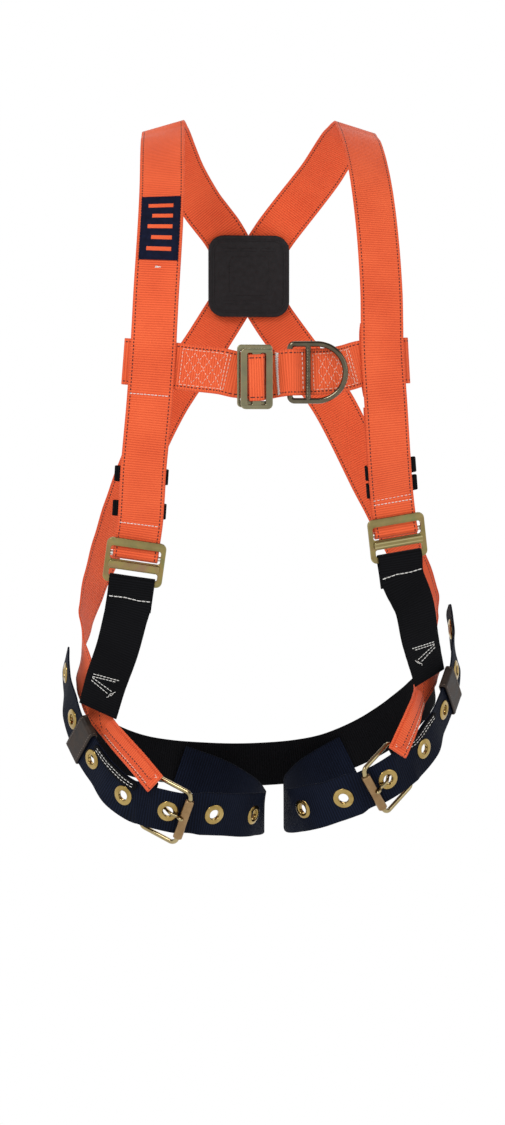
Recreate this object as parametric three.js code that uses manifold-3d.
// Full-body safety harness with leg tongue buckles, a chest strap with a front ring, and a dorsal ring.
// Millimetres, +Z up. The wearer faces -Y, and the wearer's left is +X. The origin is on the body's
// axis at the waist, where the harness is worn.
import * as THREE from 'three';
import { mergeVertices } from 'three/addons/utils/BufferGeometryUtils.js';
import Module from 'manifold-3d';

const wasm = await Module();
wasm.setup();

// Driving dimensions.
const WEB = 44.5;
const THICK = 1.6;
const GAP = 0.4;
const LAYER = THICK + GAP;
const HALF = THICK / 2;

const PLATE_THICK = 3;
const RING_WIRE = 5.5;
const DORSAL_WIRE = 6.5;
const LEG_WIRE = 4.6;
const SLIDE_BAR_R = 2.6;
const WRAP_R = SLIDE_BAR_R + GAP + HALF;
const ROLLER_R = 4.6;
const TONGUE_R = 1.7;

const GROMMET_R = 10.2;
const GROMMET_HOLE_R = 5;
const GROMMET_BARREL_R = 6.2;
const WEB_HOLE_R = GROMMET_BARREL_R + 0.4;
const GROMMET_CLEAR = 0.75;
const GROMMET_RIM = 1.1;

const COLOURS = {
  orange: [0xf4693f, 0.9, 0],
  navy: [0x101626, 0.9, 0],
  black: [0x0c0c10, 0.9, 0],
  zinc: [0x857447, 0.4, 1],
  olive: [0x50553f, 0.35, 1],
  bronze: [0x4a4436, 0.3, 1],
  brass: [0xc8a046, 0.3, 1],
  roller: [0xaa7846, 0.4, 1],
  steel: [0xb8b6b0, 0.3, 1],
  leather: [0x3a2c26, 0.6, 0],
  plastic: [0x16171a, 0.6, 0],
};

const V = (x, y, z) => new THREE.Vector3(x, y, z);
const root = new THREE.Group();

// ---------------------------------------------------------------- helpers

function material(name) {
  const [color, roughness, metalness] = COLOURS[name];
  return new THREE.MeshStandardMaterial({ color, roughness, metalness });
}

function part(name, geometry, colour, parent = root) {
  const mesh = new THREE.Mesh(geometry, material(colour));
  mesh.name = name;
  parent.add(mesh);
  return mesh;
}

function toSolid(geometry) {
  const bare = geometry.clone();
  bare.deleteAttribute('normal');
  bare.deleteAttribute('uv');
  const merged = mergeVertices(bare, 1e-4);
  return new wasm.Manifold(new wasm.Mesh({
    numProp: 3,
    vertProperties: Float32Array.from(merged.attributes.position.array),
    triVerts: Uint32Array.from(merged.index.array),
  }));
}

function toGeometry(solid) {
  const mesh = solid.getMesh();
  const geometry = new THREE.BufferGeometry();
  geometry.setAttribute('position', new THREE.BufferAttribute(Float32Array.from(mesh.vertProperties), 3));
  geometry.setIndex(new THREE.BufferAttribute(Uint32Array.from(mesh.triVerts), 1));
  return geometry;
}

const joined = (...pieces) => toGeometry(pieces.map(toSolid).reduce((a, b) => a.add(b)));

// A place on the harness: its own X runs across the strap, Z up along it, and -Y faces outward.
function site(origin, across, upward) {
  const x = across.clone().normalize();
  const z = upward.clone().addScaledVector(x, -upward.dot(x)).normalize();
  const y = z.clone().cross(x);
  return { origin, x, y, z };
}

function at(place, x, y, z) {
  return place.origin.clone().addScaledVector(place.x, x).addScaledVector(place.y, y)
    .addScaledVector(place.z, z);
}

function along(place, x, y, z) {
  return V(0, 0, 0).addScaledVector(place.x, x).addScaledVector(place.y, y).addScaledVector(place.z, z);
}

function groupAt(place) {
  const group = new THREE.Group();
  group.position.copy(place.origin);
  group.setRotationFromMatrix(new THREE.Matrix4().makeBasis(place.x, place.y, place.z));
  root.add(group);
  return group;
}

// A station is a point on a strap's centre line with the way its outer face looks.
const stop = (x, y, z, nx, ny, nz = 0) => ({ p: V(x, y, z), n: V(nx, ny, nz).normalize() });
const localStop = (place, x, y, z, nx, ny, nz) => ({ p: at(place, x, y, z), n: along(place, nx, ny, nz) });

function smooth(stops, steps = 2) {
  const curve = new THREE.CatmullRomCurve3(stops.map((s) => s.p), false, 'centripetal');
  const line = [];
  for (let i = 0; i < stops.length - 1; i += 1) {
    for (let k = 0; k < steps; k += 1) {
      const share = k / steps;
      line.push({
        p: curve.getPoint((i + share) / (stops.length - 1)),
        n: stops[i].n.clone().lerp(stops[i + 1].n, share).normalize(),
      });
    }
  }
  line.push(stops[stops.length - 1]);
  return line;
}

// Stations round a bar: from one angle to another in the plane of two directions.
function turn(centre, u, v, radius, from, to, steps = 4) {
  const line = [];
  for (let i = 0; i <= steps; i += 1) {
    const angle = THREE.MathUtils.degToRad(from + (to - from) * i / steps);
    const out = u.clone().multiplyScalar(Math.cos(angle)).addScaledVector(v, Math.sin(angle));
    line.push({ p: centre.clone().addScaledVector(out, radius), n: out });
  }
  return line;
}

// The same line pushed outward along its faces, which is how one layer lies on another.
const offset = (line, distance) => line.map((s) => ({ p: s.p.clone().addScaledVector(s.n, distance), n: s.n }));

// A flat band swept along stations. Width and thickness may change along it. A closed band has no ends.
function ribbon(line, width = WEB, thick = THICK, closed = false) {
  const widthAt = typeof width === 'function' ? width : () => width;
  const thickAt = typeof thick === 'function' ? thick : () => thick;
  const corners = [];
  const last = line.length - 1;
  line.forEach((s, i) => {
    const share = i / last;
    const before = line[closed ? (i + last) % line.length : Math.max(i - 1, 0)].p;
    const after = line[closed ? (i + 1) % line.length : Math.min(i + 1, last)].p;
    const tangent = after.clone().sub(before).normalize();
    const side = tangent.clone().cross(s.n).normalize();
    const face = side.clone().cross(tangent);
    const w = side.multiplyScalar((s.w ?? widthAt(share)) / 2);
    const n = face.multiplyScalar(thickAt(share) / 2);
    corners.push(s.p.clone().add(w).add(n), s.p.clone().sub(w).add(n));
    corners.push(s.p.clone().sub(w).sub(n), s.p.clone().add(w).sub(n));
  });
  const end = 4 * last;
  const index = closed ? [] : [0, 1, 2, 0, 2, 3, end, end + 2, end + 1, end, end + 3, end + 2];
  for (let i = 0; i < (closed ? line.length : last); i += 1) {
    const next = 4 * ((i + 1) % line.length);
    for (let k = 0; k < 4; k += 1) {
      const j = (k + 1) % 4;
      index.push(4 * i + k, next + k, next + j, 4 * i + k, next + j, 4 * i + j);
    }
  }
  const geometry = new THREE.BufferGeometry();
  geometry.setAttribute('position', new THREE.Float32BufferAttribute(corners.flatMap((c) => [c.x, c.y, c.z]), 3));
  geometry.setIndex(index);
  return geometry;
}

function roundedRect(width, height, radius, shape = new THREE.Shape(), cx = 0, cy = 0) {
  const x = cx - width / 2;
  const y = cy - height / 2;
  shape.moveTo(x + radius, y);
  shape.lineTo(x + width - radius, y);
  shape.absarc(x + width - radius, y + radius, radius, -Math.PI / 2, 0);
  shape.lineTo(x + width, y + height - radius);
  shape.absarc(x + width - radius, y + height - radius, radius, 0, Math.PI / 2);
  shape.lineTo(x + radius, y + height);
  shape.absarc(x + radius, y + height - radius, radius, Math.PI / 2, Math.PI);
  shape.lineTo(x, y + radius);
  shape.absarc(x + radius, y + radius, radius, Math.PI, 1.5 * Math.PI);
  return shape;
}

// A plate in the local X-Z plane, centred on Y = 0.
function plate(shape, depth) {
  const geometry = new THREE.ExtrudeGeometry(shape, { depth, bevelEnabled: false, curveSegments: 3 });
  return geometry.rotateX(Math.PI / 2).translate(0, depth / 2, 0);
}

function block(width, depth, height, x = 0, y = 0, z = 0) {
  return new THREE.BoxGeometry(width, depth, height).translate(x, y, z);
}

// A round bar along local X.
function barX(radius, length, sides = 12) {
  return new THREE.CylinderGeometry(radius, radius, length, sides).rotateZ(Math.PI / 2);
}

// Round wire bent along a closed loop of points in the local X-Z plane.
function wireLoop(points, wire, sides = 8) {
  const corners = [];
  const index = [];
  const count = points.length;
  points.forEach((p, i) => {
    const before = points[(i + count - 1) % count];
    const after = points[(i + 1) % count];
    const tangent = after.clone().sub(before).normalize();
    const side = tangent.clone().cross(V(0, 1, 0));
    for (let k = 0; k < sides; k += 1) {
      const angle = 2 * Math.PI * (k + 0.5) / sides;
      const c = p.clone().addScaledVector(side, Math.cos(angle) * wire / 2);
      c.y += Math.sin(angle) * wire / 2;
      corners.push(c.x, c.y, c.z);
    }
  });
  for (let i = 0; i < count; i += 1) {
    for (let k = 0; k < sides; k += 1) {
      const a = i * sides + k;
      const b = i * sides + (k + 1) % sides;
      const c = ((i + 1) % count) * sides + k;
      const d = ((i + 1) % count) * sides + (k + 1) % sides;
      index.push(a, c, d, a, d, b);
    }
  }
  const geometry = new THREE.BufferGeometry();
  geometry.setAttribute('position', new THREE.Float32BufferAttribute(corners, 3));
  geometry.setIndex(index);
  const solid = toSolid(geometry);
  if (solid.volume() < 0) {
    index.reverse();
    geometry.setIndex(index);
  }
  return geometry;
}

function arcPoints(cx, cz, radius, from, to, steps) {
  const points = [];
  for (let i = 0; i <= steps; i += 1) {
    const angle = THREE.MathUtils.degToRad(from + (to - from) * i / steps);
    points.push(V(cx + radius * Math.cos(angle), 0, cz + radius * Math.sin(angle)));
  }
  return points;
}

// A webbing sleeve round a strap: a rectangular tube whose axis is local Z, its side walls thicker on one side.
function sleeve(innerWidth, innerDepth, height, sideWall, faceWall, lean = 0) {
  const shape = new THREE.Shape();
  const w = innerWidth / 2 + sideWall;
  const d = innerDepth / 2 + faceWall;
  shape.moveTo(lean - w, -d).lineTo(lean + w, -d).lineTo(lean + w, d).lineTo(lean - w, d).closePath();
  const hole = new THREE.Path();
  hole.moveTo(-innerWidth / 2, -innerDepth / 2).lineTo(innerWidth / 2, -innerDepth / 2);
  hole.lineTo(innerWidth / 2, innerDepth / 2).lineTo(-innerWidth / 2, innerDepth / 2).closePath();
  shape.holes.push(hole);
  return new THREE.ExtrudeGeometry(shape, { depth: height, bevelEnabled: false }).translate(0, 0, -height / 2);
}

// ---------------------------------------------------------------- places

const torsoSites = {
  right: site(V(-129.5, -81, -0.5), V(55, -6, -8), V(5, -7, 38)),
  left: site(V(129, -80, 22.5), V(58, 8, 9.3), V(-6.5, -6, 34)),
};
const chestPlace = site(V(-16, -120.5, 183), V(1, 0, 0), V(0, 0, 1));
const ringPlace = site(V(18, -119.5, 186.5), V(1, 0, 0), V(0, 0, 1));
const RING_LEAN = THREE.MathUtils.degToRad(8);
const dorsalPlace = site(V(2, 106, 292), V(-1, 0, 0), V(0, 0, 1));

// ---------------------------------------------------------------- torso adjusters

const SLIDE_BAR_Y = PLATE_THICK / 2 + 0.3 + SLIDE_BAR_R;
const SLIDE_BAR_Z = 9.8;
const FRONT_Y = PLATE_THICK / 2 + 0.6 + HALF;
const KEEPER_WALL = 1.1;
const TAIL_SPACING = THICK + 3 * GAP + KEEPER_WALL;
const LOOP_BAR_Z = -14.6;
const LOOP_R = 4.2;

function torsoAdjuster(side) {
  const place = torsoSites[side];
  const group = groupAt(place);
  const outline = roundedRect(58, 44, 6, new THREE.Shape(), 0, 4);
  outline.holes.push(roundedRect(49, 13, 2.5, new THREE.Path(), 0, 11.4));
  outline.holes.push(roundedRect(47.5, 7, 2, new THREE.Path(), 0, -8.2));
  const raisedBar = block(50, 2.6, 7.4, 0, -PLATE_THICK / 2 - 1, 0.2);
  part(`${side}_torso_frame`, joined(plate(outline, PLATE_THICK), raisedBar), 'zinc', group);
  part(`${side}_slide_bar`, barX(SLIDE_BAR_R, 54).translate(0, SLIDE_BAR_Y, SLIDE_BAR_Z), 'steel', group);
}

// ---------------------------------------------------------------- orange straps

// Down the front, in world stations from the crest of the shoulder to just above the adjuster.
const shoulderFront = {
  right: [
    stop(-93, 18, 435, -0.25, 0.1, 0.97),
    stop(-96, -12, 421, -0.22, -0.62, 0.75),
    stop(-98.5, -40, 399, -0.2, -0.8, 0.55),
    stop(-101, -68, 366, -0.18, -0.9, 0.38),
    stop(-104.5, -91, 325, -0.16, -0.95, 0.24),
    stop(-109.5, -106, 262, -0.15, -0.98, 0.1),
    stop(-113, -111, 205, -0.15, -0.99, 0),
    stop(-117, -109.5, 150, -0.15, -0.98, -0.08),
    stop(-121.5, -101, 95, -0.14, -0.97, -0.14),
  ],
  left: [
    stop(99, 18, 436, 0.25, 0.1, 0.97),
    stop(101, -12, 423, 0.24, -0.62, 0.75),
    stop(103, -40, 400, 0.24, -0.8, 0.55),
    stop(105, -68, 366, 0.24, -0.9, 0.38),
    stop(107.5, -88, 320, 0.24, -0.94, 0.24),
    stop(109.5, -101, 262, 0.22, -0.97, 0.1),
    stop(109.5, -106, 212, 0.2, -0.98, 0),
    stop(113.5, -104, 155, 0.18, -0.98, -0.08),
    stop(118, -97, 100, 0.16, -0.97, -0.14),
  ],
};

// Over the back: from the crossing under the dorsal ring down to the opposite hip.
const shoulderBack = {
  right: [
    stop(-84, 46, 424, -0.2, 0.62, 0.75),
    stop(-68, 78, 394, -0.15, 0.86, 0.48),
    stop(-46, 101.5, 362, -0.1, 0.97, 0.22),
    stop(-25, 112.8, 337, 0, 1, 0.05),
    stop(-5.4, 117.7, 304, 0, 1, 0),
    stop(9.4, 117.7, 280, 0, 1, 0),
    stop(29, 112.8, 247, 0, 1, -0.05),
    stop(46, 105, 222, 0.08, 0.98, -0.1),
  ],
  left: [
    stop(90, 46, 425, 0.2, 0.62, 0.75),
    stop(73, 78, 395, 0.15, 0.86, 0.48),
    stop(52, 104, 366, 0.1, 0.97, 0.22),
    stop(31, 115, 338, 0, 1, 0.05),
    stop(16.3, 119.9, 315, 0, 1, 0),
    stop(-12.3, 119.9, 269, 0, 1, 0),
    stop(-27, 115, 246, 0, 1, -0.05),
    stop(-44, 106.5, 220, -0.08, 0.98, -0.1),
  ],
};
const backToHip = {
  right: [
    stop(88, 93, 160, 0.25, 0.96, -0.1),
    stop(122, 76, 88, 0.42, 0.9, -0.05),
    stop(152, 52, 20, 0.68, 0.73, 0),
    stop(176, 18, -42, 0.93, 0.36, 0),
    stop(178, -16, -86, 0.94, -0.34, 0),
    stop(167, -37, -112, 0.7, -0.7, 0),
  ],
  left: [
    stop(-84, 93, 160, -0.25, 0.96, -0.1),
    stop(-118, 76, 88, -0.42, 0.9, -0.05),
    stop(-148, 52, 14, -0.68, 0.73, 0),
    stop(-172, 18, -56, -0.93, 0.36, 0),
    stop(-175, -16, -106, -0.94, -0.34, 0),
    stop(-165, -35, -141, -0.7, -0.7, 0),
  ],
};
// The folded end of each strap, from the hip down to its leg buckle, named by the hip it is on.
const foldedEnd = {
  right: [
    stop(-155.5, -49, -158, -0.55, -0.83, 0),
    stop(-145, -70, -171, -0.5, -0.86, 0),
    stop(-128, -90, -190, -0.42, -0.9, 0),
    stop(-111.5, -106, -210, -0.36, -0.93, 0),
  ],
  left: [
    stop(156, -52, -130, 0.55, -0.83, 0),
    stop(146.5, -81, -143.5, 0.5, -0.86, 0),
    stop(136.5, -100, -160, 0.44, -0.9, 0),
    stop(125, -109, -182, 0.38, -0.92, 0),
  ],
};

const opposite = { right: 'left', left: 'right' };

function shoulderStrap(side) {
  const place = torsoSites[side];
  const bar = at(place, 0, SLIDE_BAR_Y, SLIDE_BAR_Z);
  const outward = place.y.clone().negate();
  const down = place.z.clone().negate();
  const front = shoulderFront[side];
  const nearBuckle = [
    front[front.length - 1],
    localStop(place, 0, FRONT_Y + 0.2, 44, 0, -1, 0),
    localStop(place, 0, FRONT_Y, 27, 0, -1, 0),
    localStop(place, 0, FRONT_Y, 18.6, 0, -1, 0),
  ];
  const tailStops = smooth(nearBuckle, 2).slice(0, 5);
  const keeperStops = smooth([front[front.length - 2], front[front.length - 1]], 2);
  const tail = [...keeperStops.slice(0, 2), ...tailStops].reverse();
  const wrap = turn(bar, down, outward, WRAP_R, 96, -84, 6);
  const line = [
    ...smooth([...front, ...nearBuckle.slice(1)].reverse(), 2).reverse(),
    ...wrap,
    ...offset(tail, -TAIL_SPACING),
  ].reverse();
  const back = smooth([
    front[0],
    ...shoulderBack[side],
    ...backToHip[side],
    ...foldedEnd[opposite[side]],
  ], 2);
  const whole = [...line, ...back.slice(1)];
  const foldStart = 1 - 11.5 / whole.length;
  const foldEnd = 1 - 7 / whole.length;
  const fold = (share) => THREE.MathUtils.smoothstep(share, foldStart, foldEnd);
  const width = (share) => WEB - (WEB - 23) * fold(share);
  const thick = (share) => THICK + 4 * fold(share);
  part(`${side}_shoulder_strap`, ribbon(whole, width, thick), 'orange');
}

// ---------------------------------------------------------------- torso keepers

function torsoKeepers(side) {
  const front = shoulderFront[side];
  const place = torsoSites[side];
  const low = at(place, 0, FRONT_Y + 0.2, 44);
  const high = front[front.length - 1].p;
  const normal = front[front.length - 1].n;
  const heights = side === 'right' ? { upper: 0.84, lower: 0.2 } : { upper: 0.78, lower: 0.27 };
  for (const [name, share] of Object.entries(heights)) {
    const upward = high.clone().sub(low);
    const across = upward.clone().cross(normal);
    const spot = low.clone().lerp(high, share);
    const keeperSite = site(spot, across, upward);
    const centre = at(keeperSite, 0, TAIL_SPACING, 0);
    const group = groupAt({ ...keeperSite, origin: centre });
    part(`${side}_${name}_keeper`, sleeve(46.5, THICK + 2.2 * GAP, 15, 3.2, KEEPER_WALL, side === 'right' ? -1.8 : 1.8), 'black', group);
  }
}

// ---------------------------------------------------------------- black hip straps and seat strap

const hipStops = {
  right: [
    stop(-137.2, -72, -50, -0.35, -0.93, 0),
    stop(-145, -66, -82, -0.42, -0.9, 0),
    stop(-156, -58, -115, -0.48, -0.87, 0),
    stop(-163.2, -50.6, -143, -0.55, -0.83, 0),
  ],
  left: [
    stop(146.5, -72, -40, 0.35, -0.93, 0),
    stop(153, -66, -70, 0.42, -0.9, 0),
    stop(161, -57, -98, 0.55, -0.83, 0),
    stop(165.2, -53, -113, 0.6, -0.8, 0),
  ],
};

function hipStrap(side) {
  const place = torsoSites[side];
  const bar = at(place, 0, 0, LOOP_BAR_Z);
  const outward = place.y.clone().negate();
  const front = [
    localStop(place, 0, -LOOP_R, LOOP_BAR_Z - 3, 0, -1, 0),
    localStop(place, 0, -2, -34, 0, -1, 0),
    ...hipStops[side],
  ];
  const back = [
    localStop(place, 0, LAYER - 1, -44, 0, 1, 0),
    localStop(place, 0, LAYER, -30, 0, 1, 0),
    localStop(place, 0, LOOP_R, LOOP_BAR_Z - 3, 0, 1, 0),
  ];
  const line = [...back, ...turn(bar, outward, place.z, LOOP_R, 180, 0, 6), ...smooth(front, 3)];
  part(`${side}_hip_strap`, ribbon(line), 'black');
}

const seatStops = [
  stop(-158, -34, -128, -0.85, -0.5, 0),
  stop(-170, 6, -148, -1, 0.05, 0),
  stop(-158, 52, -178, -0.8, 0.6, 0),
  stop(-112, 86, -202, -0.35, 0.94, 0),
  stop(-50, 96, -211, -0.08, 1, 0),
  stop(18, 97, -212, 0, 1, 0),
  stop(80, 96, -204, 0.08, 1, 0),
  stop(132, 84, -180, 0.4, 0.92, 0),
  stop(168, 50, -145, 0.82, 0.57, 0),
  stop(178, 6, -116, 1, 0.05, 0),
  stop(160, -30, -99, 0.85, -0.5, 0),
];

// ---------------------------------------------------------------- leg straps with grommets

const LEG_PITCH = 50;
const FLAT = 11.5;

// Each grommet's place, from the inner thigh round the front to the outer hip, with the outward face.
const grommetStops = {
  right: [
    stop(-12, -61, -245.5, 0.72, -0.67, -0.2),
    stop(-53, -92, -241, 0.08, -0.97, -0.25),
    stop(-98, -99, -236.5, -0.22, -0.95, -0.22),
    stop(-139.5, -77, -223, -0.64, -0.74, -0.2),
    stop(-168.5, -52, -190, -0.86, -0.5, -0.1),
    stop(-186, -27, -153, -0.945, -0.3, 0),
    stop(-191.5, -3, -109, -0.99, -0.1, 0),
  ],
  left: [
    stop(38.5, -64, -240, -0.76, -0.63, -0.2),
    stop(74, -93, -226.5, -0.1, -0.97, -0.25),
    stop(116.5, -97.5, -208, 0.26, -0.94, -0.22),
    stop(155.5, -73.5, -181, 0.67, -0.73, -0.12),
    stop(179.5, -49, -145, 0.86, -0.5, -0.1),
    stop(195.5, -24, -108, 0.925, -0.37, 0.03),
    stop(196.5, 2, -68, 0.99, -0.1, 0),
  ],
};
const legInner = {
  right: [
    stop(-72, 89.5, -213, -0.1, 1, 0),
    stop(-34, 81, -226, 0.4, 0.92, 0),
    stop(-4, 46, -240, 0.88, 0.48, 0),
    stop(5, -5, -247.5, 1, -0.05, 0),
  ],
  left: [
    stop(104, 90, -204, 0.1, 1, 0),
    stop(67, 82, -222, -0.4, 0.92, 0),
    stop(36, 46, -238, -0.88, 0.48, 0),
    stop(27, -5, -247, -1, -0.05, 0),
  ],
};
const legTip = {
  right: stop(-190, 8, -88, -1, -0.05, 0),
  left: stop(195, 13, -47, 1, -0.05, 0),
};

// The buckle's tongue goes through the third grommet. Its roller lies outside the strap before that
// grommet and its hinge bar inside the strap after it, at these distances along the strap.
const HELD = 2;
const ROLLER_AT = { right: -17, left: -19 };
const HINGE_AT = { right: 26, left: 24 };
const SKEW = { right: THREE.MathUtils.degToRad(-8), left: THREE.MathUtils.degToRad(5) };
const GRIPPED_WIDTH = 42;
const EYE_R = 4.6;

function legCurve(side) {
  const spots = [...legInner[side], ...grommetStops[side], legTip[side]];
  const curve = new THREE.CatmullRomCurve3(spots.map((s) => s.p), false, 'centripetal');
  const first = legInner[side].length;
  const share = (index, mm = 0) => (first + index + mm / LEG_PITCH) / (spots.length - 1);
  return {
    spots,
    first,
    pointAt: (index, mm) => curve.getPoint(share(index, mm)),
    tangentAt: (index, mm) => curve.getTangent(share(index, mm)),
  };
}

function grommetSite(side, index) {
  const { spots, first, tangentAt } = legCurve(side);
  const tangent = tangentAt(index, 0);
  return site(spots[first + index].p, tangent.clone().cross(spots[first + index].n), tangent);
}

// Which way the buckle's bars run, and a station of the strap that lies flat against them.
function gripAcross(side) {
  const held = grommetSite(side, HELD);
  return held.x.clone().multiplyScalar(Math.cos(SKEW[side])).addScaledVector(held.z, Math.sin(SKEW[side]));
}

function gripStop(side, mm) {
  const { pointAt, tangentAt } = legCurve(side);
  const n = gripAcross(side).cross(tangentAt(HELD, mm)).normalize();
  return { p: pointAt(HELD, mm), n, w: GRIPPED_WIDTH };
}

// Round each grommet the strap lies flat, with a station on either side of it.
function legLine(side) {
  const { spots, first, tangentAt } = legCurve(side);
  const line = [];
  spots.forEach((s, i) => {
    const index = i - first;
    if (!grommetStops[side][index]) {
      line.push(s);
      return;
    }
    const tangent = tangentAt(index, 0);
    const held = index === HELD ? { n: gripAcross(side).cross(tangent), w: GRIPPED_WIDTH } : { n: s.n };
    if (index === HELD) {
      line.push(gripStop(side, ROLLER_AT[side] - 8), gripStop(side, ROLLER_AT[side]));
    }
    line.push({ ...held, p: s.p.clone().addScaledVector(tangent, -FLAT) });
    line.push({ ...held, p: s.p.clone().addScaledVector(tangent, FLAT) });
    if (index === HELD) {
      line.push(gripStop(side, HINGE_AT[side] - 4), gripStop(side, HINGE_AT[side] + 5));
    }
  });
  return line;
}

// The frame's X runs along its bars, Z from the roller to the hinge bar, and -Y faces outward.
function legPlace(side) {
  const roller = gripStop(side, ROLLER_AT[side]);
  const hinge = gripStop(side, HINGE_AT[side]);
  const low = roller.p.clone().addScaledVector(roller.n, HALF + 2 + ROLLER_R);
  const high = hinge.p.clone().addScaledVector(hinge.n, -HALF - GAP - EYE_R - 0.6);
  const place = site(low.clone().lerp(high, 0.5), gripAcross(side), high.clone().sub(low));
  return { ...place, length: high.clone().sub(low).dot(place.z) };
}

const localTo = (place, p) => {
  const d = p.clone().sub(place.origin);
  return V(d.dot(place.x), d.dot(place.y), d.dot(place.z));
};

function legStrap(side) {
  let strap = toSolid(ribbon(legLine(side)));
  grommetStops[side].forEach((_, index) => {
    const place = grommetSite(side, index);
    const drill = new THREE.CylinderGeometry(WEB_HOLE_R, WEB_HOLE_R, 8, 12);
    drill.applyMatrix4(new THREE.Matrix4().makeBasis(place.x, place.y, place.z).setPosition(place.origin));
    strap = strap.subtract(toSolid(drill));
  });
  part(`${side}_leg_strap`, toGeometry(strap), 'navy');
}

function grommets(side) {
  grommetStops[side].forEach((_, index) => {
    const group = groupAt(grommetSite(side, index));
    const inner = HALF + GROMMET_CLEAR;
    const outer = inner + GROMMET_RIM;
    const profile = [
      [GROMMET_HOLE_R, -outer + 0.3], [GROMMET_HOLE_R + 1, -outer], [GROMMET_R, -inner - 0.3],
      [GROMMET_R - 0.6, -inner], [GROMMET_BARREL_R, -inner], [GROMMET_BARREL_R, inner],
      [GROMMET_R - 0.6, inner], [GROMMET_R, inner + 0.3], [GROMMET_HOLE_R + 1, outer],
      [GROMMET_HOLE_R, outer - 0.3], [GROMMET_HOLE_R, -outer + 0.3],
    ].map(([r, h]) => new THREE.Vector2(r, h));
    part(`${side}_grommet_${index + 1}`, new THREE.LatheGeometry(profile, 12), 'brass', group);
  });
}

// ---------------------------------------------------------------- leg tongue buckles

const BUCKLE_WIDTH = 53.5;
const BUCKLE_CORNER = 6;

function legBuckle(side) {
  const place = legPlace(side);
  const group = groupAt(place);
  const w = BUCKLE_WIDTH / 2;
  const h = place.length / 2;
  const r = BUCKLE_CORNER;
  const points = [
    ...arcPoints(w - r, h - r, r, 0, 90, 3), ...arcPoints(-w + r, h - r, r, 90, 180, 3),
    ...arcPoints(-w + r, -h + r, r, 180, 270, 3), ...arcPoints(w - r, -h + r, r, 270, 360, 3),
  ];
  part(`${side}_leg_frame`, wireLoop(points, LEG_WIRE), 'brass', group);
  const bore = LEG_WIRE / 2 + 0.45;
  const length = BUCKLE_WIDTH - 2 * BUCKLE_CORNER - 1;
  const tube = [[bore, -length / 2], [ROLLER_R, -length / 2], [ROLLER_R, length / 2], [bore, length / 2],
    [bore, -length / 2]].map(([a, b]) => new THREE.Vector2(a, b));
  const roller = new THREE.LatheGeometry(tube, 12).rotateZ(Math.PI / 2).translate(0, 0, -h);
  part(`${side}_leg_roller`, roller, 'roller', group);

  // The tongue: an eye on the hinge bar, and a rod that goes out through the grommet onto the roller.
  const held = grommetSite(side, HELD);
  const tx = localTo(place, held.origin).x;
  const eye = new THREE.LatheGeometry([[bore, -3], [EYE_R, -3], [EYE_R, 3], [bore, 3], [bore, -3]]
    .map(([a, b]) => new THREE.Vector2(a, b)), 12).rotateZ(Math.PI / 2).translate(tx, 0, h);
  const onGrommet = (t, m) => localTo(place, at(held, 0, m, t)).setX(tx);
  const over = ROLLER_R + TONGUE_R + 0.3;
  const onRoller = (degrees) => {
    const angle = THREE.MathUtils.degToRad(degrees);
    return V(tx, -over * Math.sin(angle), -h + over * Math.cos(angle));
  };
  const behind = onGrommet(9.5, 5.4);
  const start = V(tx, 0, h).add(behind.clone().sub(V(tx, 0, h)).normalize().multiplyScalar(EYE_R - 0.8));
  const route = [
    start, behind, onGrommet(3.4, 4.2), onGrommet(0, 0), onGrommet(-3.4, -4.2),
    onRoller(38), onRoller(75), onRoller(112),
  ];
  const section = new THREE.Shape();
  for (let k = 0; k < 8; k += 1) {
    const angle = 2 * Math.PI * (k + 0.5) / 8;
    const spot = [TONGUE_R * Math.cos(angle), TONGUE_R * Math.sin(angle)];
    if (k === 0) {
      section.moveTo(...spot);
    } else {
      section.lineTo(...spot);
    }
  }
  const rod = new THREE.ExtrudeGeometry(section, {
    steps: 18, bevelEnabled: false, extrudePath: new THREE.CatmullRomCurve3(route, false, 'centripetal'),
  });
  part(`${side}_leg_tongue`, joined(eye, rod), 'brass', group);
}

// ---------------------------------------------------------------- chest strap, buckle and front ring

const MALE_Y = -7.8;
const LUG_R = PLATE_THICK / 2 + GAP + HALF;

function chestBuckle() {
  const group = groupAt(chestPlace);
  const female = roundedRect(34, 60, 4, new THREE.Shape());
  female.holes.push(roundedRect(5.2, 48, 1.5, new THREE.Path(), -11.6, 0));
  female.holes.push(roundedRect(16.4, 48, 2, new THREE.Path(), 3.6, 0));
  part('chest_frame', plate(female, PLATE_THICK), 'olive', group);
  const male = roundedRect(31, 58, 5, new THREE.Shape(), 1, -3);
  male.holes.push(roundedRect(4.6, 49, 1.5, new THREE.Path(), -5.5, -3));
  male.holes.push(roundedRect(4.6, 49, 1.5, new THREE.Path(), 7.5, -3));
  part('chest_plate', plate(male, PLATE_THICK).translate(0, MALE_Y, 0), 'olive', group);
}

// Half a turn from the end of one layer to the start of the next, bulging the way the layer was going.
function foldOver(from, to, ahead, steps = 4) {
  const centre = from.p.clone().lerp(to.p, 0.5);
  const radius = from.p.distanceTo(to.p) / 2;
  const outward = from.p.clone().sub(centre).normalize();
  return turn(centre, outward, ahead, radius, 0, 180, steps).slice(1, -1);
}

// A closed band: a front layer, a fold, a back layer running the other way, and a second fold.
function bandLoop(front, back) {
  const first = front[0];
  const last = front[front.length - 1];
  const ahead = last.p.clone().sub(front[front.length - 2].p).normalize();
  const behind = first.p.clone().sub(front[1].p).normalize();
  return [...front, ...foldOver(last, back[0], ahead), ...back, ...foldOver(back[back.length - 1], first, behind)];
}

const chestStop = (x, y, z, nx, ny) => ({
  p: V(chestPlace.origin.x + x, chestPlace.origin.y + y, z), n: V(nx, ny, 0).normalize(),
});

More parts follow.
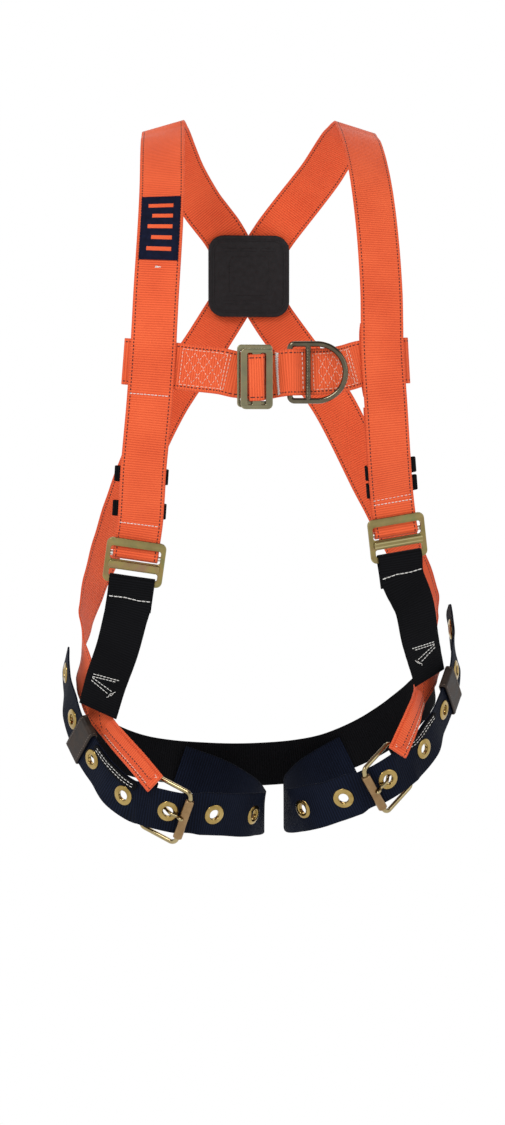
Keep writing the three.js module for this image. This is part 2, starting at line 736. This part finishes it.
// The short half holds the frame's inner bar and passes round the sewn pocket behind the shoulder strap.
function rightChestStrap() {
  const front = [
    chestStop(-4.4, -LUG_R, 183, 0, -1), chestStop(-8, -LUG_R, 183.2, -0.1, -1),
    chestStop(-10.6, -2.1, 183.4, -0.6, -0.8), chestStop(-11.6, 0, 183.6, -0.95, -0.3),
    chestStop(-12.6, 2.1, 183.8, -0.8, -0.6), chestStop(-15.2, 3.1, 184, -0.3, -0.95),
    chestStop(-19, 3.3, 184.5, 0, -1), stop(-48, -117, 187.5, -0.05, -1), stop(-70, -116, 190, -0.1, -1),
    stop(-90, -111.6, 192.5, -0.16, -0.98), stop(-113.5, -108.2, 195, -0.16, -0.98),
    stop(-138, -104.5, 197, -0.16, -0.98),
  ];
  const back = [
    stop(-137.3, -99, 197, 0.16, 0.98), stop(-112.6, -102.8, 195, 0.16, 0.98),
    stop(-90, -106.4, 192.5, 0.16, 0.98), stop(-70, -113.8, 190, 0.1, 1), stop(-48, -114.8, 187.5, 0.05, 1),
    chestStop(-18, 5.6, 184.5, 0, 1), chestStop(-13.6, 5.4, 184, 0, 1), chestStop(-9, 3.4, 183.4, 0, 1),
    chestStop(-4.4, LUG_R, 183, 0, 1),
  ];
  part('right_chest_strap', ribbon(bandLoop(smooth(front), smooth(back)), WEB, THICK, true), 'orange');
}

// The long half holds the plate's middle bar, carries the ring and passes round the left pocket.
function leftChestStrap() {
  const front = [
    chestStop(-3.3, MALE_Y - LUG_R, 181, 0, -1), chestStop(3.7, MALE_Y - LUG_R - 0.15, 181.2, 0.1, -1),
    chestStop(6.8, -10.2, 181.4, 0.75, -0.65), chestStop(7.5, MALE_Y, 181.5, 1, 0), chestStop(8.6, -3.4, 182, 0.97, -0.2),
    chestStop(9.7, 1.2, 182.5, 0.8, -0.6), chestStop(12.4, 3.6, 183, 0.2, -0.98),
    chestStop(17, 3.4, 184, -0.1, -1), stop(8, -119.4, 185.5, -0.4, -0.92), stop(14, -123, 186.2, -0.25, -0.97),
    stop(18, -123.6, 186.5, 0, -1), stop(22, -123, 186.5, 0.3, -0.95), stop(28.5, -119.4, 186.7, 0.4, -0.92),
    stop(35.4, -117.4, 187, 0, -1), stop(60, -117, 188.5, 0.05, -1), stop(76, -113, 192, 0.2, -0.98),
    stop(88, -107.55, 195.5, 0.22, -0.97), stop(110, -103.5, 197.5, 0.22, -0.97),
    stop(134, -98.2, 199, 0.22, -0.97),
  ];
  const back = [
    stop(133, -91.9, 199, -0.22, 0.97), stop(109, -97.1, 197.5, -0.22, 0.97), stop(88, -101.7, 195.5, -0.22, 0.97),
    stop(76, -110.4, 192, -0.2, 0.98), stop(60, -114.8, 188.5, 0, 1), stop(35.4, -115, 187, 0, 1),
    stop(18, -115, 186.5, 0, 1), chestStop(17, 5.8, 184, 0, 1), chestStop(12, 6, 183, -0.2, 1),
    chestStop(6.8, 3.2, 182.5, -0.8, 0.6), chestStop(4.6, -1.2, 182, -0.85, 0.5),
    chestStop(1.6, -4.6, 181.5, -0.3, 0.95), chestStop(-3.3, MALE_Y + LUG_R, 181, 0, 1),
  ];
  part('left_chest_strap', ribbon(bandLoop(smooth(front), smooth(back)), WEB, THICK, true), 'orange');
}

// A short layer sewn behind each shoulder strap, which the chest strap's loop goes round.
function chestPocket(side) {
  const curve = smooth(shoulderFront[side], 16);
  const top = side === 'right' ? 231 : 234;
  const levels = [[top, -2.3], [top - 8, -4.9], [top - 34, -4.9], [top - 60, -4.9], [top - 68, -2.3]];
  const stops = levels.map(([z, lift]) => {
    const near = curve.reduce((a, b) => (Math.abs(b.p.z - z) < Math.abs(a.p.z - z) ? b : a));
    return { p: near.p.clone().addScaledVector(near.n, lift), n: near.n };
  });
  part(`${side}_chest_pocket`, ribbon(stops, WEB - 1), 'orange');
}

const RING_WIDE = 56;
const RING_TALL = 60;
const RING_MID = 17.5;

// The D lies with its left bar upright in the strap's fold; a second, knurled bar stands 17.5 mm from it.
function frontRing() {
  const group = groupAt(ringPlace);
  const h = (RING_TALL - RING_WIRE) / 2;
  const reach = RING_WIDE - RING_WIRE / 2 - h;
  const points = [
    ...arcPoints(4.5, h - 4.5, 4.5, 180, 90, 2), ...arcPoints(reach, 0, h, 90, -90, 13),
    ...arcPoints(4.5, -h + 4.5, 4.5, -90, -180, 2),
  ];
  const middle = new THREE.CylinderGeometry(RING_WIRE / 2, RING_WIRE / 2, 2 * h, 8).rotateX(Math.PI / 2)
    .translate(RING_MID, 0, 0);
  const ring = joined(wireLoop(points, RING_WIRE), middle).rotateZ(-RING_LEAN);
  part('front_ring', ring, 'bronze', group);
}

// ---------------------------------------------------------------- dorsal ring and pad

const PAD_THICK = 3.5;
const DORSAL_HALF = 37;
const DORSAL_LEAN = THREE.MathUtils.degToRad(45);

function dorsalPieces() {
  const group = groupAt(dorsalPlace);
  const pad = plate(roundedRect(84, 84, 16, new THREE.Shape()), PAD_THICK).translate(0, -PAD_THICK / 2, 0);
  part('dorsal_pad', pad, 'plastic', group);
  const barY = -PAD_THICK - GAP - DORSAL_WIRE / 2;
  const corner = 6;
  const drop = 14;
  const points = [
    ...arcPoints(DORSAL_HALF - corner, -corner, corner, 90, 0, 2),
    ...arcPoints(0, -drop, DORSAL_HALF, 0, -180, 15),
    ...arcPoints(-DORSAL_HALF + corner, -corner, corner, 180, 90, 2),
  ];
  const ring = wireLoop(points, DORSAL_WIRE).rotateX(-DORSAL_LEAN).translate(0, barY, 0);
  part('dorsal_ring', ring, 'steel', group);
}

// ---------------------------------------------------------------- small trim

// The plain patch sewn to the right shoulder strap.
function labelPatch() {
  const curve = smooth(shoulderFront.right, 16);
  const inRange = curve.filter((s) => s.p.z < 357 && s.p.z > 290);
  const stops = inRange.filter((_, i) => i % 5 === 0);
  part('label_patch', ribbon(offset(stops, HALF + 0.3 + 0.4), 38, 0.8), 'navy');
}

// The webbing loop that holds each leg buckle's hinge bar, beside the leg strap.
function hingeLoop(side) {
  const place = legPlace(side);
  const bar = at(place, side === 'right' ? 15 : -15, 0, place.length / 2);
  const outward = place.y.clone().negate();
  const r = LEG_WIRE / 2 + GAP + 0.1 + HALF;
  const reach = 9;
  const front = [
    { p: bar.clone().addScaledVector(outward, r).addScaledVector(place.z, reach), n: outward },
    { p: bar.clone().addScaledVector(outward, r), n: outward },
  ];
  const back = [
    { p: bar.clone().addScaledVector(outward, -r), n: place.y },
    { p: bar.clone().addScaledVector(outward, -r).addScaledVector(place.z, reach), n: place.y },
  ];
  part(`${side}_hinge_loop`, ribbon(bandLoop(front, back), 10, THICK, true), 'black');
}

// A leather sleeve round each leg strap's free end, on the straight stretch between two grommets.
function legKeeper(side) {
  const lower = grommetSite(side, 4);
  const upper = grommetSite(side, 5);
  const from = at(lower, 0, 0, FLAT);
  const to = at(upper, 0, 0, -FLAT);
  const normal = lower.y.clone().add(upper.y).negate();
  const upward = to.clone().sub(from);
  const across = upward.clone().cross(normal).negate();
  const group = groupAt(site(from.lerp(to, 0.5), across, upward));
  part(`${side}_leg_keeper`, sleeve(WEB + 2, THICK + 3.4, 25, 1.6, 1.6), 'leather', group);
}

// ---------------------------------------------------------------- assembly

for (const side of ['right', 'left']) {
  shoulderStrap(side);
  torsoAdjuster(side);
  torsoKeepers(side);
  chestPocket(side);
  hipStrap(side);
  legStrap(side);
  grommets(side);
  legBuckle(side);
  hingeLoop(side);
  legKeeper(side);
}
rightChestStrap();
leftChestStrap();
chestBuckle();
frontRing();
dorsalPieces();
labelPatch();
part('seat_strap', ribbon(smooth(seatStops)), 'black');

export default root;
